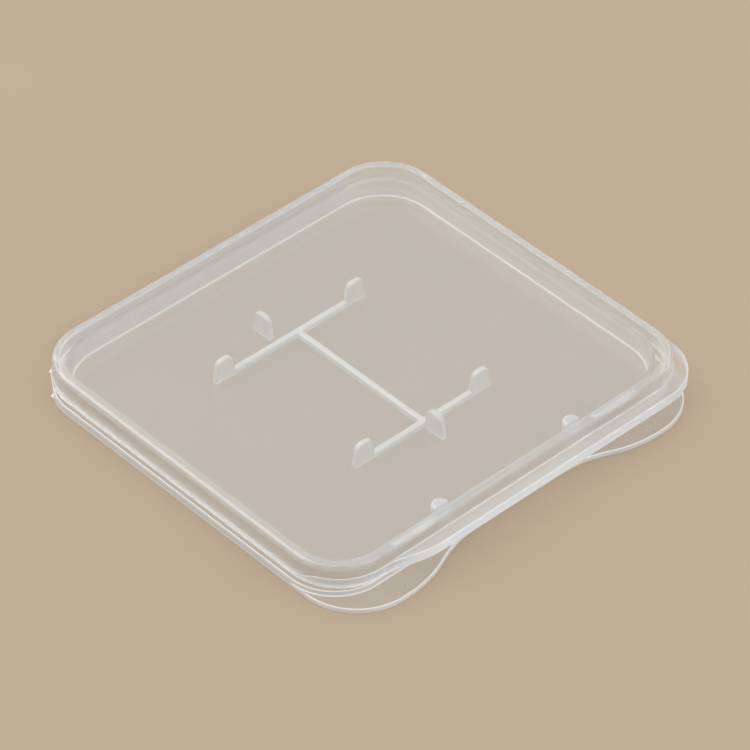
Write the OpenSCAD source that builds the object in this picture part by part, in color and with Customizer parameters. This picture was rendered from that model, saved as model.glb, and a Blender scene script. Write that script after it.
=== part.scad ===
// A small clear case for one memory card: a tray and a lid moulded as one piece,
// joined at the back by a narrow strap that folds along two thin films.
// It is drawn shut, in millimetres. The origin is on the underside, at the middle
// of the tray, with the hinge towards +Y and the opening edge towards -Y.

/* [Card space] */
// Half of the space inside the tray wall, across the hinge line
inside_half_x = 17.5; // [14:0.1:24]
// Half of the space inside the tray wall, from the hinge to the front
inside_half_y = 16; // [13:0.1:24]
// Radius of the plan corners inside the tray wall
inside_corner_r = 4.5; // [3:0.1:6]

/* [Tray] */
// Thickness of the tray's floor
floor_t = 0.85; // [0.6:0.05:1.4]
// Thickness of the tray wall
tray_wall_t = 0.4; // [0.3:0.05:0.6]
// Height of the tray wall above the floor
tray_wall_h = 1.85; // [1.2:0.05:4]
// Width of the floor's edge outside the tray wall at the sides
side_edge = 0.5; // [0.2:0.05:1]
// Width of the floor's edge outside the tray wall at the back
back_edge = 0.7; // [0.2:0.05:1.2]
// Width of the floor's edge outside the tray wall at the front
front_edge = 0.5; // [0.2:0.05:1]
// Radius of the floor's plan corners
tray_corner_r = 4.4; // [3:0.1:5]

/* [Thumb lobes] */
// Thickness of the lobes and of the ledge between them
lobe_t = 0.45; // [0.3:0.05:0.55]
// How far the ledge between the lobes stands out from the tray's front edge
lobe_ledge = 0.35; // [0.1:0.05:0.6]
// How far each lobe reaches beyond that ledge
lobe_reach = 1.95; // [0.8:0.05:4]
// Radius of each lobe's outer corner
lobe_corner_r = 5.05; // [4:0.05:6]
// Radius of the curve that leaves each lobe's tip
lobe_swell_r = 10.2; // [8:0.1:12]
// Radius of the hollow curve that runs back to the ledge
lobe_sweep_r = 10.2; // [8:0.1:12]
// Length of the flat at each lobe's tip
lobe_flat = 0.5; // [0.1:0.1:2]

/* [Card holder] */
// Length of the card that the case holds, from its contacts to its back edge
card_length = 15; // [12:0.1:18]
// Width of the card over its broad half
card_width = 11; // [9:0.1:14]
// Width of the card over its narrow half
card_nose_width = 9.7; // [7:0.1:10]
// Play of the card between the tabs at its ends, in all
end_play = 0.04; // [0.02:0.02:0.4]
// Play of the card between the tabs beside its broad half, in all
side_play = 0.25; // [0.05:0.05:0.5]
// Play of the card between the tabs beside its narrow half, in all
nose_play = 0.1; // [0.05:0.05:0.5]
// Place of the card's middle, towards the hinge
card_y = 0.13; // [-1:0.05:1]
// Place of the broad half's middle, along the hinge line
card_x = -0.95; // [-2:0.05:2]
// Sideways step from the broad half's middle to the narrow half's
nose_shift = 0.65; // [0:0.05:1.5]
// Width of the holder's low ribs
rib_w = 0.5; // [0.3:0.05:0.8]
// Height of the holder's low ribs
rib_h = 0.45; // [0.2:0.05:0.8]
// Distance from the card's back edge to the rib under its broad half
back_rib_inset = 0.49; // [0.1:0.05:3]
// Thickness of the holder's upright tabs
tab_t = 0.5; // [0.3:0.05:0.8]
// Length of the holder's upright tabs
tab_l = 2.1; // [1.6:0.1:3]
// Radius of the tabs' upper corners
tab_corner_r = 0.7; // [0.2:0.05:0.75]
// Sideways place of the tab behind the card, from the broad half's middle
back_tab_shift = -1.13; // [-4:0.05:4]
// Sideways place of the tab before the card, from the broad half's middle
front_tab_shift = 0.8; // [-3:0.05:3]

/* [Front posts] */
// Distance of each post from the middle of the case
post_x = 6.7; // [3:0.1:11]
// Radius of the posts
post_r = 0.7; // [0.4:0.05:1.2]
// How far each post's middle stands in from the tray wall
post_inset = 0.15; // [0:0.05:0.6]
// Radius of the round over each post's top edge
post_round = 0.25; // [0.05:0.05:0.35]

/* [Lid] */
// Gap between the tray wall and the lid's wall, at the sides and the back
lid_gap = 0.15; // [0.1:0.05:0.5]
// Room between the tray wall and the lid's wall at the front, for the latch pads
latch_room = 0.6; // [0.4:0.05:1.2]
// Gap between the tray wall's top and the lid's top panel
head_gap = 0.4; // [0.3:0.05:1]
// Gap between the card's tabs and the lid's top panel
tab_gap = 0.2; // [0.1:0.05:0.3]
// Radius of the lid's plan corners
lid_corner_r = 4.5; // [3:0.1:4.9]
// Thickness of the lid's side wall
lid_wall_t = 0.45; // [0.3:0.05:0.8]
// Thickness of the lid's top panel
lid_panel_t = 0.55; // [0.3:0.05:0.9]
// Radius of the round over the lid's top edge
lid_round = 0.4; // [0.1:0.05:0.4]
// Height of the gap between the tray's floor and the lid's lower rim
rim_gap = 0.79; // [0.4:0.01:1]
// Height of the raised band round the lid's lower rim
rim_h = 0.43; // [0.2:0.01:0.6]
// How far that band stands proud of the lid's wall
rim_proud = 0.1; // [0.05:0.05:0.3]

/* [Front lip] */
// How far the lip stands out from the lid's front face
lip_reach = 1.05; // [0.4:0.05:1.6]
// Thickness of the lip
lip_t = 0.9; // [0.5:0.05:1.2]
// Radius of the lip's plan corner at the left
lip_left_r = 6.8; // [6:0.1:8]
// Radius of the lip's plan corner at the right
lip_right_r = 4.3; // [3:0.1:5]
// How far the lip's right corner stands out beyond the lid's side
lip_right_reach = 0.5; // [0.2:0.05:1]

/* [Latch pads] */
// Length of each latch pad
pad_l = 4.4; // [2:0.1:5]
// Distance from the middle of the case to each pad's near end
pad_x = 8; // [5:0.1:8.4]
// Gap between the pads and the tray wall
pad_gap = 0.15; // [0.1:0.05:0.3]
// Height of the pads, down from the lid's top panel
pad_h = 0.9; // [0.4:0.05:1.1]
// Radius of the grip beads along the pads
bead_r = 0.06; // [0.03:0.01:0.07]

/* [Hinge] */
// Length of the tray's film, from the floor's back edge to the fold line
film_reach = 0.9; // [0.6:0.05:2]
// Height of the lower fold below the floor's top
lower_fold_drop = 0.3; // [0.2:0.05:0.4]
// Height of the upper fold above the lid's lower rim
upper_fold_rise = 0.26; // [0.18:0.02:0.4]
// Thickness of the strap between the folds
strap_t = 0.34; // [0.2:0.02:0.4]
// Thickness of the films
film_t = 0.22; // [0.12:0.02:0.3]
// Gap that stands for the bend between a film and the strap
fold_gap = 0.05; // [0.02:0.01:0.1]
// Distance from the strap's left end to the start of the tray's plan corner
strap_inset_left = 0; // [0:0.1:6]
// Distance from the strap's right end to the start of the tray's plan corner
strap_inset_right = 0.2; // [0:0.1:6]

/* [Hidden] */
$fn = 64;
// Overshoot of a cut past the face that it opens
cut = 1;

tray_half_x = inside_half_x + tray_wall_t + side_edge;
tray_back_y = inside_half_y + tray_wall_t + back_edge;
tray_front_y = inside_half_y + tray_wall_t + front_edge;
tray_wall_top = floor_t + tray_wall_h;

ledge_y = tray_front_y + lobe_ledge;
lobe_tip_y = ledge_y + lobe_reach;
lobe_corner_x = tray_half_x - lobe_corner_r;
lobe_swell_x = lobe_corner_x - lobe_flat;
lobe_swell_y = lobe_tip_y - lobe_swell_r;
lobe_sweep_y = ledge_y + lobe_sweep_r;
lobe_arc_sum = lobe_swell_r + lobe_sweep_r;
lobe_arc_dy = lobe_sweep_y - lobe_swell_y;
// The two arcs touch, so the distance between their middles is the sum of their radii
lobe_sweep_x = lobe_swell_x - sqrt(lobe_arc_sum * lobe_arc_sum - lobe_arc_dy * lobe_arc_dy);
// The arcs meet where the line between their middles crosses both
lobe_meet_x = lobe_sweep_x + (lobe_swell_x - lobe_sweep_x) * lobe_sweep_r / lobe_arc_sum;
lobe_meet_y = lobe_sweep_y - lobe_arc_dy * lobe_sweep_r / lobe_arc_sum;

card_back_y = card_y + (card_length + end_play) / 2;
card_front_y = card_y - (card_length + end_play) / 2;
back_rib_y = card_back_y - back_rib_inset - rib_w;
front_rib_y = card_front_y;
side_gap = card_width + side_play;
nose_gap = card_nose_width + nose_play;
nose_x = card_x + nose_shift;
link_x = card_x + front_tab_shift - tab_t / 2 + rib_w / 2;

lid_half_x = inside_half_x + tray_wall_t + lid_gap + lid_wall_t;
lid_back_y = inside_half_y + tray_wall_t + lid_gap + lid_wall_t;
lid_front_y = inside_half_y + tray_wall_t + latch_room + lid_wall_t;
lid_ceiling = tray_wall_top + head_gap;
lid_top = lid_ceiling + lid_panel_t;
lid_rim_z = floor_t + rim_gap;
tab_top = lid_ceiling - tab_gap;
post_y = inside_half_y - post_inset;
// The round over the lid's edge stays inside the wall
edge_land = 0.04;
edge_round = min(lid_round, lid_wall_t - edge_land);
lid_mid_y = (lid_back_y - lid_front_y) / 2;
lid_half_y = (lid_back_y + lid_front_y) / 2;
lip_front_y = lid_front_y + lip_reach;
lip_left_x = lid_half_x - rim_proud;
lip_right_x = lid_half_x + lip_right_reach;
fold_y = tray_back_y + film_reach;
lower_fold_z = floor_t - lower_fold_drop;
upper_fold_z = lid_rim_z + upper_fold_rise;
strap_left = tray_half_x - tray_corner_r - strap_inset_left;
strap_right = tray_half_x - tray_corner_r - strap_inset_right;
pad_front_y = lid_front_y - lid_wall_t;
pad_back_y = inside_half_y + tray_wall_t + pad_gap;

// A filled outline with equal plan corners, about the origin
module rounded_plan(half_x, half_y, corner_r) {
    square([2 * (half_x - corner_r), 2 * half_y], center = true);
    square([2 * half_x, 2 * (half_y - corner_r)], center = true);
    for (side_x = [-1, 1], side_y = [-1, 1])
        translate([side_x * (half_x - corner_r), side_y * (half_y - corner_r)]) circle(corner_r);
}

// Carries a wall's section round that outline: the section's x is how far it lies
// outside the outline, and its y is height. Corners are turned and sides are drawn.
module carried_round(half_x, half_y, corner_r) {
    run_x = half_x - corner_r;
    run_y = half_y - corner_r;
    for (turn = [0, 180]) rotate(turn) {
        translate([half_x, run_y, 0]) rotate([90, 0, 0]) linear_extrude(2 * run_y) children();
        translate([-run_x, half_y, 0]) rotate([90, 0, 90]) linear_extrude(2 * run_x) children();
        translate([run_x, run_y, 0])
            rotate_extrude(angle = 90) translate([corner_r, 0]) children();
        translate([-run_x, run_y, 0]) rotate(90)
            rotate_extrude(angle = 90) translate([corner_r, 0]) children();
    }
}

// One thumb lobe, on the right: a corner arc, a swelling arc and a hollow sweep
module lobe_plan() {
    translate([lobe_corner_x, -lobe_tip_y + lobe_corner_r]) circle(lobe_corner_r);
    translate([lobe_corner_x, -lobe_tip_y + lobe_corner_r]) square([lobe_corner_r, lobe_reach * 2]);
    translate([lobe_swell_x, -lobe_tip_y]) square([lobe_flat, lobe_corner_r]);
    intersection() {
        translate([lobe_swell_x, -lobe_swell_y]) circle(lobe_swell_r);
        translate([lobe_meet_x, -lobe_tip_y]) square([lobe_swell_x - lobe_meet_x, lobe_corner_r]);
    }
    difference() {
        translate([lobe_sweep_x, -lobe_meet_y])
            square([lobe_meet_x - lobe_sweep_x, lobe_meet_y - ledge_y + cut]);
        translate([lobe_sweep_x, -lobe_sweep_y]) circle(lobe_sweep_r);
    }
}

// The tray's own plate, with its plan corners
module tray_plan() {
    tray_half_y = (tray_back_y + tray_front_y) / 2;
    translate([0, (tray_back_y - tray_front_y) / 2])
        rounded_plan(tray_half_x, tray_half_y, tray_corner_r);
}

// The floor: a thin plate with the ledge and the two lobes, under the tray's own plate
module tray_floor() {
    color([0.86, 0.87, 0.86, 0.45]) {
        linear_extrude(floor_t) tray_plan();
        linear_extrude(lobe_t) {
            lobe_plan();
            mirror([1, 0]) lobe_plan();
            translate([-lobe_corner_x, -ledge_y])
                square([2 * lobe_corner_x, ledge_y - tray_front_y + cut]);
        }
    }
}

// The upright wall round the card space, with a rounded top
module tray_wall() {
    color([0.86, 0.87, 0.86, 0.45])
        carried_round(inside_half_x, inside_half_y, inside_corner_r) {
            union() {
                translate([0, floor_t])
                    square([tray_wall_t, tray_wall_top - tray_wall_t / 2 - floor_t]);
                translate([tray_wall_t / 2, tray_wall_top - tray_wall_t / 2])
                    circle(tray_wall_t / 2, $fn = 24);
            }
        }
}

// A low rib along X from its left end, standing on the floor
module rib(left, right, front) {
    translate([left, front, floor_t]) cube([right - left, rib_w, rib_h]);
}

// The ribs that the card lies on: one under each half, and one that links them
module holder_ribs() {
    color([0.9, 0.91, 0.9, 0.6]) {
        rib(card_x - side_gap / 2, card_x + side_gap / 2, back_rib_y);
        rib(nose_x - nose_gap / 2, nose_x + nose_gap / 2, front_rib_y);
        translate([link_x - rib_w / 2, front_rib_y, floor_t])
            cube([rib_w, back_rib_y - front_rib_y + rib_w, rib_h]);
    }
}

// One upright tab along X, from its left end, with rounded upper corners
module tab() {
    corner_y = tab_top - floor_t - tab_corner_r;
    translate([0, tab_t, floor_t]) rotate([90, 0, 0]) linear_extrude(tab_t) {
        square([tab_l, corner_y]);
        translate([tab_corner_r, 0]) square([tab_l - 2 * tab_corner_r, corner_y + tab_corner_r]);
        for (corner_x = [tab_corner_r, tab_l - tab_corner_r])
            translate([corner_x, corner_y]) circle(tab_corner_r, $fn = 32);
    }
}

// The six tabs that stand round the card and stop it from sliding
module holder_tabs() {
    back_tab_y = back_rib_y + (rib_w - tab_t) / 2;
    front_tab_y = front_rib_y + (rib_w - tab_t) / 2;
    color([0.9, 0.91, 0.9, 0.6]) {
        translate([card_x - side_gap / 2 - tab_l, back_tab_y, 0]) tab();
        translate([card_x + side_gap / 2, back_tab_y, 0]) tab();
        translate([nose_x - nose_gap / 2 - tab_l, front_tab_y, 0]) tab();
        translate([nose_x + nose_gap / 2, front_tab_y, 0]) tab();
        translate([card_x + back_tab_shift + tab_t / 2, card_back_y, 0]) rotate(90) tab();
        translate([card_x + front_tab_shift + tab_t / 2, card_front_y - tab_l, 0])
            rotate(90) tab();
    }
}

// Two round posts against the front of the tray wall, with rounded tops
module front_posts() {
    post_h = tab_top - floor_t;
    color([0.9, 0.91, 0.9, 0.6])
        for (side = [-1, 1])
            difference() {
                translate([side * post_x, -post_y, floor_t]) rotate_extrude() {
                    square([post_r, post_h - post_round]);
                    square([post_r - post_round, post_h]);
                    translate([post_r - post_round, post_h - post_round])
                        intersection() {
                            circle(post_round, $fn = 32);
                            square(post_round);
                        }
                }
                translate([side * post_x - post_r - cut, -inside_half_y - post_r - cut, 0])
                    cube([2 * (post_r + cut), post_r + cut, lid_top]);
            }
}

// The lid's flat top, inside its rounded edge
module lid_panel() {
    color([0.85, 0.86, 0.86, 0.4])
        translate([0, lid_mid_y, lid_ceiling]) linear_extrude(lid_panel_t)
            rounded_plan(lid_half_x - lid_wall_t, lid_half_y - lid_wall_t, lid_corner_r - lid_wall_t);
}

// The section of the lid's wall: a rounded top edge and a band round the lower rim
module lid_wall_section() {
    round_z = lid_top - edge_round;
    translate([-lid_wall_t, lid_rim_z]) {
        square([lid_wall_t, round_z - lid_rim_z]);
        square([lid_wall_t + rim_proud, rim_h]);
        square([lid_wall_t - edge_round, lid_top - lid_rim_z]);
    }
    translate([-edge_round, round_z]) intersection() {
        circle(edge_round, $fn = 48);
        square(edge_round);
    }
}

// The lid's wall, carried round its outline
module lid_wall() {
    color([0.85, 0.86, 0.86, 0.4])
        translate([0, lid_mid_y, 0])
            carried_round(lid_half_x, lid_half_y, lid_corner_r) lid_wall_section();
}

// All the space that the lid's wall and its band take, filled in
module lid_block() {
    translate([0, lid_mid_y, lid_rim_z - cut]) {
        linear_extrude(lid_top - lid_rim_z)
            rounded_plan(lid_half_x, lid_half_y, lid_corner_r);
        linear_extrude(rim_h + cut)
            rounded_plan(lid_half_x + rim_proud, lid_half_y + rim_proud, lid_corner_r + rim_proud);
    }
}

// The lip that a thumb lifts: its left corner dies away into the lid's wall, and its
// right corner stands out beyond it
module front_lip() {
    left_x = lip_left_r - lip_left_x;
    right_x = lip_right_x - lip_right_r;
    color([0.82, 0.85, 0.88, 0.6])
        difference() {
            translate([0, 0, lid_rim_z]) linear_extrude(lip_t) {
                translate([left_x, -lip_front_y]) square([right_x - left_x, lip_reach + cut]);
                intersection() {
                    translate([left_x, lip_left_r - lip_front_y]) circle(lip_left_r);
                    translate([-lip_left_x, -lip_front_y]) square([lip_left_r, lip_left_r]);
                }
                translate([right_x, lip_right_r - lip_front_y]) circle(lip_right_r);
            }
            lid_block();
        }
}

// The two pads inside the lid's front wall that grip the tray wall, each with beads
module latch_pads() {
    pad_depth = pad_front_y - pad_back_y;
    bead_pitch = pad_h / 3;
    color([0.88, 0.89, 0.89, 0.6])
        for (side = [-1, 1])
            translate([side * (pad_x + pad_l / 2) - pad_l / 2, -pad_front_y, lid_ceiling - pad_h]) {
                cube([pad_l, pad_depth, pad_h]);
                for (bead = [1, 2])
                    translate([0, pad_depth, bead * bead_pitch])
                        rotate([0, 90, 0]) cylinder(pad_l, bead_r, bead_r, $fn = 24);
            }
}

// The strap between the two folds: flat sides and round edges on the fold lines
module hinge_strap() {
    strap_h = upper_fold_z - lower_fold_z;
    color([0.84, 0.87, 0.9, 0.6])
        translate([-strap_left, fold_y, lower_fold_z])
            rotate([90, 0, 90]) linear_extrude(strap_left + strap_right) {
                translate([-strap_t / 2, 0]) square([strap_t, strap_h]);
                for (edge_z = [0, strap_h]) translate([0, edge_z]) circle(strap_t / 2, $fn = 32);
            }
}

// A thin film from a back edge to its fold line
module film(edge_y, fold_z) {
    fold_edge_y = fold_y - strap_t / 2 - fold_gap;
    translate([-strap_left, edge_y, fold_z - film_t / 2])
        cube([strap_left + strap_right, fold_edge_y - edge_y, film_t]);
}

module tray_film() {
    color([0.84, 0.87, 0.9, 0.6]) film(tray_back_y, lower_fold_z);
}

module lid_film() {
    color([0.84, 0.87, 0.9, 0.6]) film(lid_back_y + rim_proud, upper_fold_z);
}

tray_floor();
tray_wall();
holder_ribs();
holder_tabs();
front_posts();
lid_panel();
lid_wall();
front_lip();
latch_pads();
hinge_strap();
tray_film();
lid_film();
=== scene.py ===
"""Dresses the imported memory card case: a clear, slightly milky moulding on a pale floor.

Every length is in metres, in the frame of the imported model. Each piece is a set of rings: a plan
outline, worked out once, is moved in or out along its normals while a section climbs and turns.
"""

import math

import bpy
import numpy as np
from mathutils import Matrix, Vector


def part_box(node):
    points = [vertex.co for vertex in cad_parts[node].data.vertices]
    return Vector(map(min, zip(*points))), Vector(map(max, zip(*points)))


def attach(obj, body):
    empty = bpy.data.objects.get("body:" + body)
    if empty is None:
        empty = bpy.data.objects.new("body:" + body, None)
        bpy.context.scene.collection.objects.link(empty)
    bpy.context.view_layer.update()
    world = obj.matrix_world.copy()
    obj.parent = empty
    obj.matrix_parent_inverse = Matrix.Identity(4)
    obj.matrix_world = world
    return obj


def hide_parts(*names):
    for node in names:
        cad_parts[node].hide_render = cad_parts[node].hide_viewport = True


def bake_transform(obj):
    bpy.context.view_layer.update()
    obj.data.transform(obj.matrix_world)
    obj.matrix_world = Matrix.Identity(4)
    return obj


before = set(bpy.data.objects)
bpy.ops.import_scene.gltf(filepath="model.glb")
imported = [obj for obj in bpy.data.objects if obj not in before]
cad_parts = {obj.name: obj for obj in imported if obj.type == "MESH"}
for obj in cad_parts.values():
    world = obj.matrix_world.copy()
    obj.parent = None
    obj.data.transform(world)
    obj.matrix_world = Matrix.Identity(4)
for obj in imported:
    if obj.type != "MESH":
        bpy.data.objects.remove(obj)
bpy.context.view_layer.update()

bl_info = {
    "name": "Clear card case",
    "version": (1, 0, 0),
    "blender": (4, 5, 0),
    "location": "View3D > Sidebar > Card case",
    "description": "Builds the clear plastic surfaces of a memory card case round its packed frame",
    "category": "Object",
}

MM = 0.001
# Width of the extra ring beside each rounded edge that keeps the flat faces flat
HOLD = 0.02 * MM
# Depth to which a rib, tab or post is sunk into what it is moulded on
SUNK = 0.02 * MM
# Width of the gap that still counts as one when it is divided by
LEAST_GAP = HOLD / 100
# The finishes of a moulding, by how thick the plastic is that the eye meets there. The edge and
# cream finishes are also whiter, less clear strips that paint the bright highlight lines of rounded
# edges, and the rim finish is a painted bluish sky reflection
FLAT, WALL, EDGE_MILK_AND_HIGHLIGHT, RIM_SKY_REFLECTION, FROST, CREAM_MILK_AND_HIGHLIGHT, SOFT = range(7)
# Points round a corner of the tray or the lid, and graded points along a side
CORNER_STEPS, SIDE_STEPS = 40, 60
# How often the cloudy drifts and the fine grain of the plastic repeat, per metre
CLOUDS_PER_METRE, GRAIN_PER_METRE = 220, 2600
# Colour of the light that reaches the floor through the plastic
SHINE_THROUGH = (0.93, 0.93, 0.93, 1)
# Width of the picture in pixels, and of the camera's sensor in millimetres
FRAME_WIDTH, SENSOR_WIDTH = 750, 36


def corners_of(node):
    """The lowest and highest corner of a CAD node, as arrays."""
    return tuple(np.array(corner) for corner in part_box(node))


FLOOR_LOW, FLOOR_HIGH = corners_of("tray_floor")
WALL_LOW, WALL_HIGH = corners_of("tray_wall")
PANEL_LOW, PANEL_HIGH = corners_of("lid_panel")
SKIRT_LOW, SKIRT_HIGH = corners_of("lid_wall")
LIP_LOW, LIP_HIGH = corners_of("front_lip")
RIBS_LOW, RIBS_HIGH = corners_of("holder_ribs")
TABS_LOW, TABS_HIGH = corners_of("holder_tabs")
POSTS_LOW, POSTS_HIGH = corners_of("front_posts")
PADS_LOW, PADS_HIGH = corners_of("latch_pads")
STRAP_LOW, STRAP_HIGH = corners_of("hinge_strap")
TRAY_FILM_LOW, TRAY_FILM_HIGH = corners_of("tray_film")
LID_FILM_LOW, LID_FILM_HIGH = corners_of("lid_film")


def length(name, description, millimetres):
    """A length property whose default is given in millimetres."""
    return bpy.props.FloatProperty(
        name=name, description=description, default=millimetres * MM, unit="LENGTH", precision=5)


def share(name, description, default):
    """A property that runs from nothing to one."""
    return bpy.props.FloatProperty(
        name=name, description=description, default=default, min=0.0, max=1.0)


def amount(name, description, default):
    """A plain number."""
    return bpy.props.FloatProperty(name=name, description=description, default=default)


def spot(name, description, millimetres):
    """A place whose default is given in millimetres."""
    return bpy.props.FloatVectorProperty(
        name=name, description=description, default=[value * MM for value in millimetres],
        subtype="TRANSLATION", precision=5)


def tint(name, description, default):
    """A colour property."""
    return bpy.props.FloatVectorProperty(
        name=name, description=description, default=default, subtype="COLOR", min=0.0, max=1.0)


class TraySizes(bpy.types.PropertyGroup):
    """Lengths of the tray that its packed boxes don't give."""
    plate_front: length("Plate front", "From the middle to the front of the tray's own plate", 16.9)
    plate_corner: length("Plate corner", "Radius of the plate's plan corners", 4.4)
    wall_corner: length("Wall corner", "Radius of the plan corners outside the tray wall", 4.9)
    wall_t: length("Wall thickness", "Thickness of the tray wall", 0.4)
    ledge_front: length("Ledge front", "From the middle to the front of the ledge", 17.25)
    lobe_t: length("Lobe thickness", "Thickness of the lobes and the ledge", 0.45)
    lobe_corner: length("Lobe corner", "Radius of each lobe's outer corner", 5.05)
    lobe_swell: length("Lobe swell", "Radius of the curve that leaves each lobe's tip", 10.2)
    lobe_sweep: length("Lobe sweep", "Radius of the hollow curve back to the ledge", 10.2)
    lobe_flat: length("Lobe flat", "Length of the flat at each lobe's tip", 0.5)
    edge_round: length("Edge round", "Radius of the tray's moulded edges", 0.1)
    foot_round: length("Foot round", "Radius of the fillets where walls stand on the plate", 0.12)


class HolderSizes(bpy.types.PropertyGroup):
    """Lengths of the card holder and of the front posts. Shifts are from the middle of the ribs."""
    rib_w: length("Rib width", "Width of the low ribs", 0.5)
    link_shift: length("Link shift", "Left side of the rib that links the other two", 0.55)
    nose_shift: length("Nose shift", "Middle of the front rib", 0.65)
    nose_gap: length("Nose gap", "Length of the front rib", 9.8)
    tab_t: length("Tab thickness", "Thickness of the upright tabs", 0.5)
    tab_l: length("Tab length", "Length of the upright tabs", 2.1)
    tab_corner: length("Tab corner", "Radius of the tabs' upper corners", 0.66)
    tab_draft: length("Tab draft", "How far each side of a tab leans in towards its top", 0.3)
    rib_tuck: length("Rib tuck", "How far the ribs run in under the tabs", 0.3)
    rear_tab_shift: length("Rear tab shift", "Place of the tab behind the card", -1.13)
    front_tab_shift: length("Front tab shift", "Place of the tab before the card", 0.8)
    rib_round: length("Rib round", "Radius of the ribs' top edges", 0.1)
    rib_corner: length("Rib corner", "Radius of the ribs' plan corners", 0.16)
    tab_foot: length("Tab foot", "Radius of the tabs' lower corners", 0.185)
    tab_round: length("Tab round", "Radius of the tabs' edges", 0.13)
    post_round: length("Post round", "Radius of the posts' top edges", 0.247)
    post_r: length("Post radius", "Radius of the front posts", 0.7)
    post_x: length("Post place", "Distance of each post from the middle of the case", 6.7)


class LidSizes(bpy.types.PropertyGroup):
    """Lengths of the lid that its packed boxes don't give."""
    corner: length("Lid corner", "Radius of the lid's plan corners", 4.5)
    top_round: length("Top round", "Radius of the round over the lid's top edge", 0.4)
    rim_h: length("Rim height", "Height of the raised band round the lower rim", 0.43)
    rim_proud: length("Rim proud", "How far that band stands proud of the lid's wall", 0.1)
    lip_left_r: length("Lip left corner", "Radius of the lip's corner that dies into the wall", 6.8)
    lip_right_r: length("Lip right corner", "Radius of the lip's corner that stands out", 4.3)
    lip_taper: length("Lip taper", "Reach over which the lip's right end rises", 0.3)
    lip_tip: length("Lip tip", "How far before the middle the lip's left tip starts", 13.4)
    lip_tip_run: length("Lip tip run", "Length over which the lip's left tip rises", 1.8)
    lip_swell: length("Lip swell", "Thickness of the swell where the left corner dies away", 0.16)
    lip_merge: length("Lip merge", "How far from the rim band that swell is felt", 0.7)
    edge_round: length("Edge round", "Radius of the lid's lower edges", 0.1)
    foot_round: length("Foot round", "Radius of the fillets inside the lid and over the lip", 0.15)
    pad_round: length("Pad round", "Radius of the latch pads' edges", 0.06)
    pad_l: length("Pad length", "Length of each latch pad", 4.4)
    bead_r: length("Bead radius", "Radius of the grip beads along the pads", 0.06)


class HingeSizes(bpy.types.PropertyGroup):
    """Lengths of the folding strap."""
    bend_r: length("Bend radius", "Radius of the bend where a film turns into the strap", 0.17)
    reach_up: length("Reach", "How far each film runs on into the strap", 0.35)
    film_slim: length("Film slim", "How much thinner each folding film is than its solid", 0.022)
    bend_start: length("Bend start", "From the strap back to where the folding starts", 0.272)
    bend_end: length("Bend end", "From the film along the strap to where it ends", 0.272)
    bend_slack: length("Bend slack", "How far both of those lie off the film and the strap", 0.051)
    edge_round: length("Edge round", "Radius of the strap's and the films' ends", 0.06)


class MarkSizes(bpy.types.PropertyGroup):
    """Places and lengths of the marks that moulding leaves."""
    lid_burr: spot("Lid burr", "Foot of the burr on the lid's rim", (-17.22, 15.66, 1.86))
    tray_burr: spot("Tray burr", "Foot of the burr on the tray's edge", (-17.95, 14.65, 0.5))
    burr_l: length("Burr length", "How far a burr stands out", 0.26)
    burr_r: length("Burr radius", "Radius of a burr's foot", 0.24)
    burr_narrowing: share("Burr narrowing", "Share of that radius lost at the tip", 0.9)
    burr_flatness: share("Burr flatness", "Height of a burr as a share of its width", 0.7)
    line_x: length("Line place", "Distance of each lobe's line from the middle", 12.5)
    line_front: length("Line front", "From the middle to the front end of each line", 18.85)
    line_l: length("Line length", "Length of each line", 0.85)
    line_w: length("Line width", "Width of each line", 0.09)
    line_h: length("Line height", "Height of each line above its lobe", 0.04)
    line_corner: length("Line corner", "Radius of the ends of each line", 0.0405)


class PlasticLooks(bpy.types.PropertyGroup):
    """Colours and finishes of the milky plastic, from its thin flats to its frosted ribs."""
    clear: tint("Clear", "Colour of the thin flat parts", (0.98, 0.97, 0.955))
    warm: tint("Warm", "Colour of the upright walls", (0.975, 0.95, 0.92))
    # Also the base colour of the whiter edge strips, which stand partly for milky thick plastic and
    # partly for painted highlight lines
    cloudy: tint("Cloudy", "Colour in the cloudy drifts and in the edges", (1.0, 0.995, 0.985))
    # Painted sky reflection: the lip and the rim band are tinted bluish and let less light through,
    # standing in for the sky that they reflect
    sky_reflection_tint: tint("Bluish", "Colour of the lip and the rim band", (0.94, 0.965, 1.0))
    creamy: tint("Creamy", "Colour of ribs, tabs and cut edges", (0.965, 0.925, 0.865))
    flat_clarity: share("Flat clarity", "Share of light that goes through the flats", 0.935)
    wall_clarity: share("Wall clarity", "Share of light that goes through the walls", 0.93)
    # Low, so that rounded edges show whiter: partly milky thick plastic, partly a painted highlight
    edge_clarity: share("Edge clarity", "Share of light that goes through the rounded edges", 0.62)
    # Lower for the lip and the band, so that their painted sky reflection shows
    rim_clarity: share("Rim clarity", "Share of light that goes through the lip and the band", 0.66)
    soft_clarity: share("Soft clarity", "Share of light that goes through the lid's top edge", 0.82)
    frost_clarity: share("Frost clarity", "Share of light that goes through ribs and tabs", 0.48)
    # Lowest of all, so that the lobes' edges and the wall's inner foot show as bright cream lines:
    # partly milky plastic, partly painted highlights
    cream_clarity: share("Cream clarity", "Share of light that goes through the lobes' edges", 0.30)
    rough: share("Roughness", "Roughness of the moulded surface", 0.08)
    wall_rough: share("Wall roughness", "Roughness of the upright walls", 0.32)
    soft_rough: share("Soft roughness", "Roughness of the lid's top edge", 0.18)
    edge_rough: share("Edge roughness", "Roughness of the rounded edges", 0.45)
    frost_rough: share("Frost roughness", "Roughness of the ribs and tabs", 0.35)
    ior: amount("IOR", "Index of refraction", 1.49)


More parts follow.
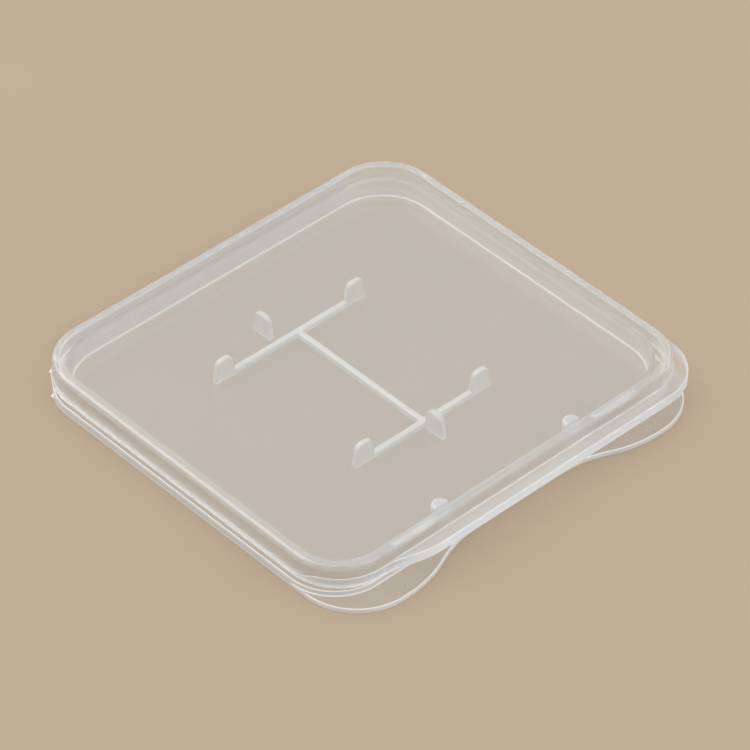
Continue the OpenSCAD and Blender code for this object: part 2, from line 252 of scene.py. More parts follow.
class StageLooks(bpy.types.PropertyGroup):
    """Camera, floor and lamps."""
    azimuth: amount("Azimuth", "Degrees round the case to the camera", -42.766)
    elevation: amount("Elevation", "Degrees from the horizon up to the camera", 41.374)
    place: spot("Camera place", "Where the camera stands", (-180.7, -197.0, 236.8))
    focal: amount("Focal length", "Focal length in pixels of the picture", 4709.0)
    floor_colour: tint("Floor", "Colour of the pale floor", (0.49, 0.372, 0.258))
    floor_drop: length("Floor drop", "Gap between the tray and the floor", 0.03)
    sky_colour: tint("Sky", "Colour of the soft light all round", (0.90, 0.95, 1.0))
    sky_power: amount("Sky power", "Strength of the soft light", 0.68)
    key_place: spot("Key place", "Where the main lamp hangs, behind", (-150, 350, 450))
    key_power: amount("Key power", "Watts of the main lamp", 1.7)
    fill_place: spot("Fill place", "Where the other lamp hangs, in front", (150, -400, 450))
    fill_power: amount("Fill power", "Watts of the other lamp", 1.0)
    lamp_size: length("Lamp size", "Width of each lamp", 500)
    floor_half: length("Floor half", "Half of the floor's width", 1000)


# Outlines and rings ------------------------------------------------------------------


def graded(count):
    """Fractions from 0 to 1, closer together near both ends: (1 - cos(pi t)) / 2."""
    return (1 - np.cos(np.linspace(0, np.pi, count + 1))) / 2


def rounded_polygon(corners, radii, corner_steps=8, side_steps=2):
    """A closed outline with rounded corners, anticlockwise, and its outward normals.

    Each corner is an arc that touches both sides: its middle lies one radius from both, and the
    normal turns evenly from one side's to the next's. Sides are straight, with graded points.
    """
    corners = np.asarray(corners, float)
    radii = np.broadcast_to(radii, len(corners))
    ahead = np.roll(corners, -1, 0) - corners
    ahead /= np.linalg.norm(ahead, axis=1, keepdims=True)
    behind = np.roll(ahead, 1, 0)
    turning = np.arctan2(
        behind[:, 0] * ahead[:, 1] - behind[:, 1] * ahead[:, 0], (behind * ahead).sum(1))
    cut = (radii * np.tan(np.abs(turning) / 2))[:, None]
    starts, ends = corners - behind * cut, corners + ahead * cut
    heading = np.arctan2(behind[:, 1], behind[:, 0]) - np.pi / 2
    points, normals = [], []
    for i, side in enumerate(np.sign(turning)):
        angle = heading[i] + turning[i] * np.linspace(0, 1, corner_steps + 1)
        spokes = np.stack([np.cos(angle), np.sin(angle)], 1)
        middle = starts[i] - spokes[0] * radii[i] * side
        points.append(middle + spokes * radii[i] * side)
        normals.append(spokes)
        run = graded(side_steps)[1:-1, None]
        following = starts[(i + 1) % len(corners)]
        points.append(ends[i] + (following - ends[i]) * run)
        normals.append(np.repeat(spokes[-1:], len(run), 0))
    return np.concatenate(points), np.concatenate(normals)


def normals_along(points):
    """Outward normals of an open anticlockwise run: its tangent turned by a right angle."""
    tangent = np.gradient(points, axis=0)
    tangent /= np.linalg.norm(tangent, axis=1, keepdims=True)
    return np.stack([tangent[:, 1], -tangent[:, 0]], 1)


def arc(centre, radius, start, end, count):
    """Points round a circle, from one angle to another in degrees."""
    angle = np.radians(np.linspace(start, end, count))
    return np.asarray(centre) + np.stack([radius * np.cos(angle), radius * np.sin(angle)], 1)


def spaced(points, count):
    """The same path with its points evenly spaced along its length."""
    steps = np.linalg.norm(np.diff(points, axis=0), axis=1)
    along = np.concatenate([[0], np.cumsum(steps)])
    wanted = np.linspace(0, along[-1], count)
    return np.stack([np.interp(wanted, along, points[:, k]) for k in range(2)], 1)


def ring(outline, inset, height):
    """One ring: the outline moved in by the inset along its normals, at a height."""
    points, normals = outline
    inset, height = (np.broadcast_to(v, len(points)) for v in (inset, height))
    return np.column_stack([points - normals * inset[:, None], height])


def turned(outline, inset, height, across, up, start, end, steps=5):
    """Rings round an elliptical edge: inset + across cos(a), height + up sin(a), a in degrees."""
    angles = np.radians(np.linspace(start, end, steps + 1))
    return [ring(outline, inset + across * np.cos(a), height + up * np.sin(a)) for a in angles]


def held(*runs):
    """Joins runs of rings, with an extra ring close to each end of every straight between them.

    A run is the finish of its own faces, the finish of the straight after it, and its rings. The
    finish of every strip of faces comes back with the rings.
    """
    own, after, rings = runs[0]
    rings, finishes = list(rings), [own] * (len(rings) - 1)
    for next_own, next_after, run in runs[1:]:
        last, first = rings[-1], run[0]
        gap = np.linalg.norm(first - last, axis=1, keepdims=True)
        step = (first - last) * np.minimum(0.25, HOLD / np.maximum(gap, LEAST_GAP))
        rings += [last + step, first - step] + list(run)
        finishes += [after] * 3 + list(np.broadcast_to(next_own, len(run) - 1))
        after = next_after
    return np.stack(rings), finishes


def shell(held_rings, order=(0, 1, 2)):
    """Points, faces and finishes of the closed surface through the rings, with flat end caps.

    Faces that come out pointing inwards, by the sign of the volume they enclose, are turned over.
    """
    rings, finishes = held_rings
    count, around = rings.shape[:2]
    points = rings.reshape(-1, 3)[:, list(order)]
    row = np.arange(count - 1)[:, None] * around
    here, beside = np.arange(around)[None, :], (np.arange(around)[None, :] + 1) % around
    quads = np.stack([row + here, row + beside, row + around + beside, row + around + here], -1)
    quads = quads.reshape(-1, 4)
    caps = [np.arange(around)[::-1], np.arange(around) + (count - 1) * around]
    a, b, c, d = (points[quads[:, k]] for k in range(4))
    volume = (np.cross(a, b) * c).sum() + (np.cross(a, c) * d).sum()
    for cap in caps:
        loop = points[cap]
        volume += (np.cross(loop[0], loop[1:-1]) * loop[2:]).sum()
    faces = quads.tolist() + [cap.tolist() for cap in caps]
    finish = np.concatenate([np.repeat(finishes, around), [finishes[0], finishes[-1]]])
    return points, [face[::-1] for face in faces] if volume < 0 else faces, finish


def joined(shells):
    """Several closed surfaces as one list of points and faces."""
    points, faces, finishes, first = [], [], [], 0
    for part_points, part_faces, part_finishes in shells:
        points.append(part_points)
        finishes.append(part_finishes)
        faces += [[first + index for index in face] for face in part_faces]
        first += len(part_points)
    return np.concatenate(points), faces, np.concatenate(finishes)


def piece(name, surface, materials, nodes, body=None):
    """A smooth mesh object from points, faces and finishes; it rides on a body when one is given.
    The finishes that it has are numbered over, so that it carries only those materials."""
    points, faces, finishes = surface
    used, numbers = np.unique(finishes, return_inverse=True)
    mesh = bpy.data.meshes.new(name)
    mesh.from_pydata(points.tolist(), [], faces)
    mesh.polygons.foreach_set("use_smooth", np.ones(len(mesh.polygons), bool))
    mesh.polygons.foreach_set("material_index", numbers.astype(np.int32))
    for index in used:
        mesh.materials.append(materials[index])
    mesh.update()
    obj = bpy.data.objects.new(name, mesh)
    bpy.context.collection.objects.link(obj)
    if body:
        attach(obj, body)
    if nodes:
        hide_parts(*nodes)
    return obj


# Materials ---------------------------------------------------------------------------


def new_nodes(tree, *kinds):
    """One new node of each kind in a tree."""
    return [tree.nodes.new(kind) for kind in kinds]


def haze_group():
    """Node group: the slow cloudy drifts and the fine grain of moulded plastic."""
    name = "moulded_haze"
    if name in bpy.data.node_groups:
        return bpy.data.node_groups[name]
    group = bpy.data.node_groups.new(name, "ShaderNodeTree")
    sockets = [
        ("Clear", "INPUT", "NodeSocketColor"), ("Cloudy", "INPUT", "NodeSocketColor"),
        ("Milk", "INPUT", "NodeSocketFloat"),
        ("Roughness", "INPUT", "NodeSocketFloat"), ("Color", "OUTPUT", "NodeSocketColor"),
        ("Rough", "OUTPUT", "NodeSocketFloat"),
    ]
    for label, way, kind in sockets:
        group.interface.new_socket(label, in_out=way, socket_type=kind)
    link = group.links.new
    source, sink, place = new_nodes(
        group, "NodeGroupInput", "NodeGroupOutput", "ShaderNodeTexCoord")

    clouds, grain = new_nodes(group, *["ShaderNodeTexNoise"] * 2)
    for texture, scale, detail in ((clouds, CLOUDS_PER_METRE, 3), (grain, GRAIN_PER_METRE, 1)):
        texture.inputs["Scale"].default_value = scale
        texture.inputs["Detail"].default_value = detail
        link(place.outputs["Object"], texture.inputs["Vector"])

    drift, milk, colour = new_nodes(group, "ShaderNodeMapRange", "ShaderNodeMath", "ShaderNodeMix")
    drift.inputs["From Min"].default_value, drift.inputs["From Max"].default_value = 0.3, 0.7
    drift.inputs["To Min"].default_value, drift.inputs["To Max"].default_value = -0.08, 0.14
    milk.operation, milk.use_clamp = "ADD", True
    colour.data_type = "RGBA"
    link(clouds.outputs[0], drift.inputs["Value"])
    link(drift.outputs[0], milk.inputs[0])
    link(source.outputs["Milk"], milk.inputs[1])
    link(milk.outputs[0], colour.inputs["Factor"])
    link(source.outputs["Clear"], colour.inputs["A"])
    link(source.outputs["Cloudy"], colour.inputs["B"])
    link(colour.outputs["Result"], sink.inputs["Color"])

    vary, rough = new_nodes(group, "ShaderNodeMapRange", "ShaderNodeMath")
    vary.inputs["To Min"].default_value, vary.inputs["To Max"].default_value = 0.96, 1.06
    rough.operation = "MULTIPLY"
    link(grain.outputs[0], vary.inputs["Value"])
    link(vary.outputs[0], rough.inputs[0])
    link(source.outputs["Roughness"], rough.inputs[1])
    link(rough.outputs[0], sink.inputs["Rough"])
    return group


def milky_plastic(name, looks, colour, clarity, rough, milk):
    """Moulded plastic of one finish, which lets lamps shine through."""
    material = bpy.data.materials.new(name)
    material.use_nodes = True
    tree = material.node_tree
    link = tree.links.new
    shader, output = tree.nodes["Principled BSDF"], tree.nodes["Material Output"]
    shader.inputs["IOR"].default_value = looks.ior
    shader.inputs["Transmission Weight"].default_value = clarity
    haze, = new_nodes(tree, "ShaderNodeGroup")
    haze.node_tree = haze_group()
    haze.inputs["Clear"].default_value = (*colour, 1)
    haze.inputs["Cloudy"].default_value = (*looks.cloudy, 1)
    haze.inputs["Milk"].default_value = milk
    haze.inputs["Roughness"].default_value = rough
    link(haze.outputs["Color"], shader.inputs["Base Color"])
    link(haze.outputs["Rough"], shader.inputs["Roughness"])
    rays, either, through, mix = new_nodes(
        tree, "ShaderNodeLightPath", "ShaderNodeMath", "ShaderNodeBsdfTransparent",
        "ShaderNodeMixShader")
    either.operation = "MAXIMUM"
    through.inputs["Color"].default_value = SHINE_THROUGH
    link(rays.outputs["Is Shadow Ray"], either.inputs[0])
    link(rays.outputs["Is Diffuse Ray"], either.inputs[1])
    link(either.outputs[0], mix.inputs["Fac"])
    link(shader.outputs[0], mix.inputs[1])
    link(through.outputs[0], mix.inputs[2])
    link(mix.outputs[0], output.inputs["Surface"])
    return material


def floor_paint(looks):
    """A pale matt floor with a barely uneven tone."""
    material = bpy.data.materials.new("floor_paint")
    material.use_nodes = True
    tree = material.node_tree
    place, noise, ramp, mix = new_nodes(
        tree, "ShaderNodeTexCoord", "ShaderNodeTexNoise", "ShaderNodeMapRange", "ShaderNodeMix")
    mix.data_type = "RGBA"
    noise.inputs["Scale"].default_value = 60
    ramp.inputs["To Min"].default_value, ramp.inputs["To Max"].default_value = 0.0, 1.0
    mix.inputs["A"].default_value = (*(0.96 * np.array(looks.floor_colour)), 1)
    mix.inputs["B"].default_value = (*(1.04 * np.array(looks.floor_colour)), 1)
    shader = tree.nodes["Principled BSDF"]
    shader.inputs["Roughness"].default_value = 0.9
    tree.links.new(place.outputs["Object"], noise.inputs["Vector"])
    tree.links.new(noise.outputs[0], ramp.inputs["Value"])
    tree.links.new(ramp.outputs[0], mix.inputs["Factor"])
    tree.links.new(mix.outputs["Result"], shader.inputs["Base Color"])
    return material


# Shapes ------------------------------------------------------------------------------

def plan_box(low_x, high_x, low_y, high_y):
    """Corners of a plan rectangle, anticlockwise from the front left."""
    return [(low_x, low_y), (high_x, low_y), (high_x, high_y), (low_x, high_y)]


def big_outline(low, high, radius):
    """A rounded plan rectangle, with the same run of points for every size."""
    return rounded_polygon(
        plan_box(low[0], high[0], low[1], high[1]), radius, CORNER_STEPS, SIDE_STEPS)


def front_run():
    """Places, in a big outline, of the points from the front left corner to the front right."""
    return np.arange(2 * (CORNER_STEPS + 1) + SIDE_STEPS - 1)


def lobed_outline(sizes, plate):
    """The plate's outline with the two lobes and the ledge in place of its front.

    Half of the front is a corner arc, a flat, a swelling arc, a hollow arc that touches it, and the
    ledge. The arcs touch where the line between their middles crosses them. It is then mirrored.
    """
    half_x, tip = FLOOR_HIGH[0], FLOOR_LOW[1]
    ledge = -sizes.ledge_front
    corner_x = half_x - sizes.lobe_corner
    swell = np.array([corner_x - sizes.lobe_flat, tip + sizes.lobe_swell])
    sweep_y = ledge - sizes.lobe_sweep
    both = sizes.lobe_swell + sizes.lobe_sweep
    sweep = np.array([swell[0] - math.sqrt(both**2 - (swell[1] - sweep_y)**2), sweep_y])
    lean = math.degrees(math.atan2(sweep[1] - swell[1], sweep[0] - swell[0]))
    right = np.concatenate([
        [[0, ledge]],
        arc(sweep, sizes.lobe_sweep, 90, lean + 180, 40),
        arc(swell, sizes.lobe_swell, lean + 360, 270, 40)[1:],
        arc((corner_x, tip + sizes.lobe_corner), sizes.lobe_corner, -90, 0, 60),
        [[half_x, -sizes.plate_front + sizes.plate_corner]],
    ])
    front = np.concatenate([right[:0:-1] * (-1, 1), right])
    points, normals = (values.copy() for values in plate)
    run = front_run()
    points[run] = spaced(front, len(run))
    normals[run] = normals_along(points[run])
    return points, normals


def tray_rings(sizes):
    """The tray as one section carried round: under, lobe edge, plate edge, over the wall."""
    plate = big_outline((FLOOR_LOW[0], -sizes.plate_front), FLOOR_HIGH, sizes.plate_corner)
    lobed = lobed_outline(sizes, plate)
    wall = big_outline(WALL_LOW, WALL_HIGH, sizes.wall_corner)
    floor_t, top, edge, foot = FLOOR_HIGH[2], WALL_HIGH[2], sizes.edge_round, sizes.foot_round
    reach = np.linalg.norm(lobed[0] - plate[0], axis=1)
    lobe_edge, plate_foot = np.minimum(edge, reach / 3), np.minimum(foot, reach / 3)
    step = HOLD * (reach < edge)
    half_wall = sizes.wall_t / 2
    return held(
        (FLAT, FLAT, [ring(lobed, edge + HOLD, 0)]),
        # The lobe edges, the plate's foot and edge, and the fillet inside the wall's foot take the
        # cream finish, creamy and nearly opaque: partly milky thick plastic, partly painted bright
        # lines
        (CREAM_MILK_AND_HIGHLIGHT, CREAM_MILK_AND_HIGHLIGHT, turned(lobed, edge, edge, edge, edge, 270, 180)),
        (CREAM_MILK_AND_HIGHLIGHT, FLAT, turned(lobed, lobe_edge, sizes.lobe_t - edge, lobe_edge, edge, 180, 90)),
        (CREAM_MILK_AND_HIGHLIGHT, CREAM_MILK_AND_HIGHLIGHT, turned(
            plate, -plate_foot, sizes.lobe_t + foot + step, plate_foot, foot, 270, 360)),
        (CREAM_MILK_AND_HIGHLIGHT, FLAT, turned(plate, edge, floor_t - edge, edge, edge, 180, 90)),
        (WALL, WALL, turned(wall, -foot, floor_t + foot, foot, foot, 270, 360)),
        (WALL, WALL, turned(wall, half_wall, top - half_wall, half_wall, half_wall, 180, 0, 12)),
        (CREAM_MILK_AND_HIGHLIGHT, FLAT, turned(wall, sizes.wall_t + foot, floor_t + foot, foot, foot, 180, 270)),
        (FLAT, FLAT, [ring(wall, sizes.wall_t + foot + HOLD, floor_t)]),
    )


def lip_outline(sizes, wall):
    """The lid's wall outline, carried out to the rim band, or to the lip where it reaches further.

    The lip is a corner arc that dies into the wall at the left, a straight front, and a corner arc
    that stands out at the right. Each point goes to the nearest one on it. Where the left corner
    dies into the band, a swell of (1 - d squared) squared fills the crease, d being how far the lip
    is from the band there.
    """
    points, normals = wall
    left_x, right_x = LIP_LOW[0] + sizes.lip_left_r, LIP_HIGH[0] - sizes.lip_right_r
    front = LIP_LOW[1]
    lip = spaced(np.concatenate([
        arc((left_x, front + sizes.lip_left_r), sizes.lip_left_r, 180, 270, 200),
        arc((right_x, front + sizes.lip_right_r), sizes.lip_right_r, -90, 60, 240),
    ]), 4000)
    lip_normals = normals_along(lip)
    nearest = np.linalg.norm(points[:, None] - lip[None], axis=2).argmin(1)
    reach = ((lip[nearest] - points) * lip_normals[nearest]).sum(1)
    beyond = (reach > sizes.rim_proud) & (points[:, 1] < LIP_HIGH[1])
    outer = points + normals * sizes.rim_proud
    outer[beyond] = lip[nearest[beyond]]
    outer_normals = normals.copy()
    outer_normals[beyond] = lip_normals[nearest[beyond]]
    off = (reach - sizes.rim_proud) / sizes.lip_merge
    merging = (points[:, 0] < 0) & (points[:, 1] < LIP_HIGH[1])
    swell = sizes.lip_swell * np.clip(1 - off**2, 0, 1)**2 * merging
    outer += outer_normals * swell[:, None]
    return (outer, outer_normals), np.where(beyond, reach, sizes.rim_proud) + swell


def lid_rings(sizes):
    """The lid as one section carried round: top, round edge, wall, lip or band, rim and inside."""
    wall_t = SKIRT_HIGH[0] - sizes.rim_proud - PANEL_HIGH[0]
    low, high = PANEL_LOW - wall_t, PANEL_HIGH + wall_t
    wall = big_outline(low, high, sizes.corner)
    outer, reach = lip_outline(sizes, wall)
    top, ceiling, rim = PANEL_HIGH[2], PANEL_LOW[2], SKIRT_LOW[2]
    edge, foot, over = sizes.edge_round, sizes.foot_round, sizes.top_round
    tip = np.where(wall[0][:, 0] < 0, -sizes.lip_tip - wall[0][:, 1], 0) / sizes.lip_tip_run
    rise = np.clip(np.maximum((reach - sizes.rim_proud) / sizes.lip_taper, tip), 0, 1)
    shelf = rim + sizes.rim_h + (LIP_HIGH[2] - rim - sizes.rim_h) * rise * rise * (3 - 2 * rise)
    shelf_edge, shelf_foot = np.minimum(edge, reach / 3), np.minimum(foot, reach / 3)
    return held(
        (FLAT, SOFT, [ring(wall, over + wall_t + HOLD, top), ring(wall, over + wall_t, top)]),
        # The round over the top edge ends in one whiter edge strip, a painted highlight line along
        # that edge
        ([SOFT] * 5 + [WALL] * 6 + [EDGE_MILK_AND_HIGHLIGHT], WALL, turned(
            wall, over, top - over, over, over, 90, 180, 12)),
        (WALL, WALL, turned(
            wall, -shelf_foot, shelf + shelf_foot, shelf_foot, shelf_foot, 360, 270)),
        # The round over the band takes the whiter edge finish, partly a painted highlight; the lip
        # and the band below it take the bluish rim finish, a painted sky reflection
        (EDGE_MILK_AND_HIGHLIGHT, RIM_SKY_REFLECTION, turned(
            outer, shelf_edge, shelf - shelf_edge, shelf_edge, shelf_edge, 90, 180)),
        # The rounded lower edges of the band and the rim take the whiter edge finish, partly a
        # painted highlight line
        (EDGE_MILK_AND_HIGHLIGHT, WALL, turned(outer, edge, rim + edge, edge, edge, 180, 270)),
        (EDGE_MILK_AND_HIGHLIGHT, WALL, turned(wall, wall_t - edge, rim + edge, edge, edge, 270, 360)),
        (WALL, FLAT, turned(wall, wall_t + foot, ceiling - foot, foot, foot, 180, 90)),
        (FLAT, FLAT, [ring(wall, wall_t + foot + HOLD, ceiling)]),
    )


def block_rings(outline, low, high, edge, foot=True, own=0, rim=0):
    """A short upright block: rounded top edge, and a rounded or a plain foot."""
    under = ((own, own, [ring(outline, edge + HOLD, low)]),
             (rim, own, turned(outline, edge, low + edge, edge, edge, 270, 180)))
    plain = ((own, own, [ring(outline, 0, low), ring(outline, 0, low + HOLD)]),)
    return held(
        *(under if foot else plain),
        (rim, own, turned(outline, edge, high - edge, edge, edge, 180, 90)),
        (own, own, [ring(outline, edge + HOLD, high)]),
    )


def rib_surface(sizes):
    """The three low ribs as one H: an outline with round corners, carried up to a rounded top."""
    back, front = RIBS_HIGH[1], RIBS_LOW[1]
    middle = (RIBS_LOW[0] + RIBS_HIGH[0]) / 2
    link = middle + sizes.link_shift, middle + sizes.link_shift + sizes.rib_w
    left, right = RIBS_LOW[0] - sizes.rib_tuck, RIBS_HIGH[0] + sizes.rib_tuck
    near_left = middle + sizes.nose_shift - sizes.nose_gap / 2 - sizes.rib_tuck
    near_right = near_left + sizes.nose_gap + 2 * sizes.rib_tuck
    corners = [
        (near_left, front), (near_right, front),
        (near_right, front + sizes.rib_w), (link[1], front + sizes.rib_w),
        (link[1], back - sizes.rib_w), (right, back - sizes.rib_w), (right, back), (left, back),
        (left, back - sizes.rib_w), (link[0], back - sizes.rib_w),
        (link[0], front + sizes.rib_w), (near_left, front + sizes.rib_w),
    ]
    outline = rounded_polygon(corners, sizes.rib_corner, 5, 3)
    return shell(block_rings(
        outline, RIBS_LOW[2] - SUNK, RIBS_HIGH[2], sizes.rib_round, False, FROST, FROST))


def tab_surface(sizes, x, y, along_y=False):
    """One upright tab about a point: its face outline, carried through its thickness."""
    half = sizes.tab_l / 2
    top = half - sizes.tab_draft
    low, high = TABS_LOW[2] - SUNK, TABS_HIGH[2]
    start = y if along_y else x
    radii = [sizes.tab_foot] * 2 + [sizes.tab_corner] * 2
    corners = [(start - half, low), (start + half, low), (start + top, high), (start - top, high)]
    face = rounded_polygon(corners, radii, 10, 3)
    middle = x if along_y else y
    rings = block_rings(
        face, middle - sizes.tab_t / 2, middle + sizes.tab_t / 2, sizes.tab_round,
        True, FROST, FROST)
    return shell(rings, (2, 0, 1) if along_y else (0, 2, 1))


def tab_surfaces(sizes):
    """All six tabs: a pair at each rib's ends, one behind the card and one before it."""
    half, mid = sizes.tab_l / 2, sizes.rib_w / 2
    back, front = RIBS_HIGH[1] - mid, RIBS_LOW[1] + mid
    middle = (RIBS_LOW[0] + RIBS_HIGH[0]) / 2
    nose, nose_half = middle + sizes.nose_shift, sizes.nose_gap / 2
    return joined([
        tab_surface(sizes, RIBS_LOW[0] - half, back), tab_surface(sizes, RIBS_HIGH[0] + half, back),
        tab_surface(sizes, nose - nose_half - half, front),
        tab_surface(sizes, nose + nose_half + half, front),
        tab_surface(sizes, middle + sizes.rear_tab_shift, TABS_HIGH[1] - half, True),
        tab_surface(sizes, middle + sizes.front_tab_shift, TABS_LOW[1] + half, True),
    ])


def post_surfaces(sizes):
    """Two round posts, cut flat where they meet the tray wall, with rounded tops."""
    centre_y = POSTS_HIGH[1] - sizes.post_r
    flat = POSTS_LOW[1] - SUNK
    reach = math.degrees(math.asin((flat - centre_y) / sizes.post_r))
    shells = []
    for side in (-1, 1):
        curve = arc((side * sizes.post_x, centre_y), sizes.post_r, reach, 180 - reach, 48)
        chord = np.linspace(curve[-1], curve[0], 8)[1:-1]
        points = np.concatenate([curve, chord])
        spokes = (points - (side * sizes.post_x, centre_y)) / sizes.post_r
        # Posts take the whiter edge finish with cream rounded tops: partly milky thick plastic,
        # partly painted highlights
        shells.append(shell(block_rings(
            (points, spokes), POSTS_LOW[2] - SUNK, POSTS_HIGH[2], sizes.post_round,
            False, EDGE_MILK_AND_HIGHLIGHT, CREAM_MILK_AND_HIGHLIGHT)))
    return joined(shells)


def pad_surfaces(sizes):
    """Two latch pads: a section with two beads on its inner face, carried along the front wall."""
    low, high = PADS_LOW.copy(), PADS_HIGH.copy()
    face = high[1] - sizes.bead_r
    height = np.linspace(low[2], high[2] + SUNK, 61)
    beads = low[2] + (high[2] - low[2]) / 3 * np.array([[1], [2]])
    bulge = np.sqrt(np.clip(sizes.bead_r**2 - (height - beads)**2, 0, None)).sum(0)
    inner = np.column_stack([face + bulge, height])
    outer = np.column_stack([np.full(9, low[1] - SUNK), np.linspace(high[2] + SUNK, low[2], 9)])
    points = np.concatenate([inner, outer])
    middle = np.array([(low[1] + face) / 2, (low[2] + high[2]) / 2])
    half = np.array([(face - low[1]) / 2, (high[2] - low[2]) / 2])
    spokes = np.clip((points - middle) / half, -1, 1)
    shells = []
    for start in (low[0], high[0] - sizes.pad_l):
        # Pads take the wall finish with whiter edge rounds, partly a painted highlight
        shells.append(shell(
            block_rings((points, spokes), start, start + sizes.pad_l, sizes.pad_round,
                        True, WALL, EDGE_MILK_AND_HIGHLIGHT),
            (2, 0, 1)))
    return joined(shells)


def strip_surface(path, thickness, low_x, high_x, edge):
    """A thin sheet with a round nose at both ends: its middle line in the YZ plane, thickened along
    its normals and carried along X."""
    normals = normals_along(path)
    turn = np.radians(np.linspace(0, 180, 9))[1:-1]
    half = thickness / 2

    def nose(end, out, across):
        return end + half * (np.outer(np.sin(turn), out) + np.outer(np.cos(turn), across))

    ahead = np.stack([-normals[:, 1], normals[:, 0]], 1)
    points = np.concatenate([
        path + normals * half, nose(path[-1], ahead[-1], normals[-1]),
        (path - normals * half)[::-1], nose(path[0], -ahead[0], -normals[0])])
    centre = np.concatenate([path, np.repeat(path[-1:], len(turn), 0), path[::-1],
                             np.repeat(path[:1], len(turn), 0)])
    outline = points, (points - centre) / half
    # The sheet's rounded edges take the whiter edge finish, partly a painted highlight
    return shell(block_rings(outline, low_x, high_x, edge, True, WALL, EDGE_MILK_AND_HIGHLIGHT), (2, 0, 1))


def fold_path(start_y, bend_y, film_z, end_z, bend_r):
    """From a back edge straight to the strap, a quarter turn, and on along it to a height."""
    way = 1 if end_z > film_z else -1
    bend = arc((bend_y - bend_r, film_z + way * bend_r), bend_r, -90 * way, 0, 12)
    flat = np.column_stack([np.linspace(start_y, bend[0, 0], 10)[:-1], np.full(9, film_z)])
    rise = np.column_stack([np.full(6, bend_y), np.linspace(bend[-1, 1], end_z, 7)[1:]])
    return np.concatenate([flat, bend, rise])


def burr_surface(sizes, foot):
    """A burr at a corner: a flattened round section that lies along the diagonal and narrows
    as 1 - n t squared, t running from its foot to its tip."""
    along = np.linspace(0, 1, 9)[:, None]
    angle = np.linspace(0, 2 * np.pi, 16, endpoint=False)[None]
    width = sizes.burr_r * (1 - sizes.burr_narrowing * along**2)
    out, side = np.array([-1, 1, 0]) / math.sqrt(2), np.array([1, 1, 0]) / math.sqrt(2)
    rings = (foot + out * (along * sizes.burr_l)[..., None]
             + side * (width * np.cos(angle))[..., None]
             + np.array([0, 0, sizes.burr_flatness]) * (width * np.sin(angle))[..., None])
    # Burrs take the cream finish, partly a painted highlight
    return shell((rings, [CREAM_MILK_AND_HIGHLIGHT] * 8))


def line_surface(sizes, side):
    """A fine raised line on top of a lobe, on its side of the middle."""
    middle, front = side * sizes.line_x, -sizes.line_front
    lobe_top = bpy.context.scene.case_tray.lobe_t
    outline = rounded_polygon(
        plan_box(middle - sizes.line_w / 2, middle + sizes.line_w / 2, front, front + sizes.line_l),
        sizes.line_corner, 4, 2)
    return shell(block_rings(
        outline, lobe_top - SUNK / 2, lobe_top + sizes.line_h, sizes.line_h / 2, False, WALL, WALL))


# Operators ---------------------------------------------------------------------------


def plastics():
    """The materials of the seven finishes, made once, in the order of their numbers."""
    looks = bpy.context.scene.case_plastic
    kinds = (
        ("clear_flat", looks.clear, looks.flat_clarity, looks.rough, 0.1),
        ("clear_wall", looks.warm, looks.wall_clarity, looks.wall_rough, 0.15),
        # Whiter, less clear edge strips: partly milky thick plastic, partly painted highlight lines
        ("edge_milk_and_painted_highlight", looks.cloudy, looks.edge_clarity, looks.edge_rough, 0.5),
        # Bluish rim strips: a painted sky reflection on the lip and the band
        ("rim_painted_sky_reflection", looks.sky_reflection_tint, looks.rim_clarity, looks.edge_rough, 0.1),
        ("frosted_rib", looks.creamy, looks.frost_clarity, looks.frost_rough, 0.1),
        # Cream edge strips: partly milky thick plastic, partly painted bright lines
        ("cream_edge_painted_highlight", looks.creamy, looks.cream_clarity, looks.frost_rough, 0.4),
        ("soft_round", looks.clear, looks.soft_clarity, looks.soft_rough, 0.5),
    )
    return [bpy.data.materials.get(name) or milky_plastic(name, looks, *rest)
            for name, *rest in kinds]


class CASE_OT_tray(bpy.types.Operator):
    """Tray floor with its lobes and the wall round the card space"""
    bl_idname = "case.tray"
    bl_label = "Tray"

    def execute(self, context):
        surface = shell(tray_rings(context.scene.case_tray))
        piece("tray_shell", surface, plastics(),
              ["tray_floor", "tray_wall"], "tray")
        return {"FINISHED"}


class CASE_OT_holder(bpy.types.Operator):
    """Ribs, tabs and posts that keep the card in its place"""
    bl_idname = "case.holder"
    bl_label = "Card holder"

    def execute(self, context):
        sizes, material = context.scene.case_holder, plastics()
        piece("card_ribs", rib_surface(sizes), material, ["holder_ribs"], "tray")
        piece("card_tabs", tab_surfaces(sizes), material, ["holder_tabs"], "tray")
        piece("round_posts", post_surfaces(sizes), material, ["front_posts"],
              "tray")
        return {"FINISHED"}


class CASE_OT_lid(bpy.types.Operator):
    """Lid panel, wall, rim band and thumb lip"""
    bl_idname = "case.lid"
    bl_label = "Lid"

    def execute(self, context):
        surface = shell(lid_rings(context.scene.case_lid))
        piece("lid_shell", surface, plastics(),
              ["lid_panel", "lid_wall", "front_lip"], "lid")
        return {"FINISHED"}


class CASE_OT_latch(bpy.types.Operator):
    """Beaded pads inside the lid's front wall"""
    bl_idname = "case.latch"
    bl_label = "Latch pads"

    def execute(self, context):
        piece("beaded_pads", pad_surfaces(context.scene.case_lid), plastics(),
              ["latch_pads"], "lid")
        return {"FINISHED"}


